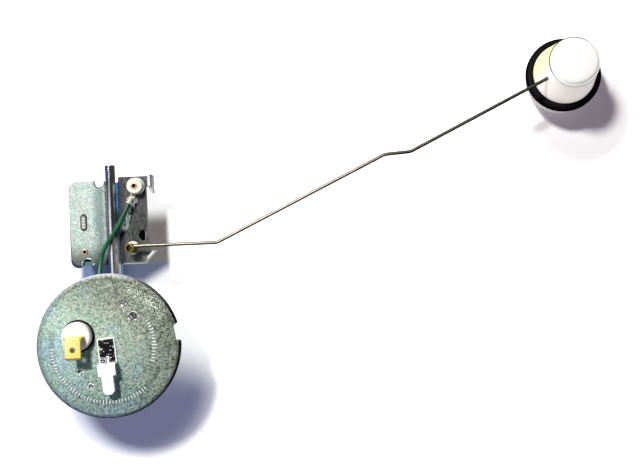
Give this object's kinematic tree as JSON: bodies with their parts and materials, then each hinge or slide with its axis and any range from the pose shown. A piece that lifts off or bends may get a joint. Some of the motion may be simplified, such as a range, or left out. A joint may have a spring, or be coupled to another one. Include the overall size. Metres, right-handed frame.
{
  "type": "fuel level sender",
  "caption": "Tank level sender: round flange with two blade terminals, a rod-held resistor housing, and a float on a bent wire arm that swings a wiper.",
  "frame": {"origin": "centre of the flange disc at the lower edge of its rim, the plane that seats on the tank", "axes": "+Z out of the tank along the disc's axis, +Y along the support rod towards the resistor housing, +X towards the float with the arm at rest"},
  "size_m": [0.247, 0.1547, 0.0435],
  "materials": {
    "zinc_flange": "grainy zinc plating, mid grey with a green tint",
    "zinc_plate": "bright zinc plating, part grainy and part mirror-like",
    "tinned_cover": "satin tinned steel",
    "bright_rod": "bright drawn and plated",
    "brass": "plain brass",
    "tinned_tag": "bright tin",
    "white_nylon": "creamy white nylon",
    "black_rubber": "matt black",
    "spring_wire": "drawn stainless wire",
    "copper": "copper",
    "green_sleeve": "dark green insulation",
    "float_shell": "white translucent moulding",
    "brown_card": "brown fibre card",
    "resistance_wire": "fine alloy wire",
    "spring_bronze": "bronze strip",
    "silver": "silver contact",
    "bright_washer": "bright plated steel"
  },
  "bodies": {
    "root": {"flange_disc": "zinc_flange", "terminal_gasket": "black_rubber", "terminal_insulator": "white_nylon", "inner_insulator": "white_nylon", "terminal_blade": "brass", "inner_tag": "tinned_tag", "earth_terminal": "tinned_tag", "rod_bracket": "zinc_flange", "support_rod": "bright_rod", "housing_plate": "zinc_plate", "housing_cover": "tinned_cover", "pivot_bush": "bright_washer", "rear_bush": "brass", "resistor_card": "brown_card", "resistor_winding": "resistance_wire", "card_post": "white_nylon", "earth_clip": "spring_bronze", "live_clip": "spring_bronze", "plate_eyelet": "copper", "lead_base_washer": "white_nylon", "lead_cap_washer": "white_nylon", "lead_inner_washer": "white_nylon", "lead_eyelet": "copper", "lead_tag": "tinned_tag", "signal_lead": "green_sleeve"},
    "arm": {"wiper_spindle": "brass", "spindle_clip": "bright_washer", "wiper_arm": "spring_bronze", "wiper_contact": "silver", "float_arm": "spring_wire", "float_body": "float_shell", "float_ring": "black_rubber", "float_base": "float_shell"}
  },
  "joints": [
    {"name": "arm_swing", "type": "hinge", "parent": "root", "child": "arm", "pos_m": [0.0084, 0.0401, -0.0071], "axis": [0, 0, 1], "range_deg": [-5.9, 63.3]}
  ]
}
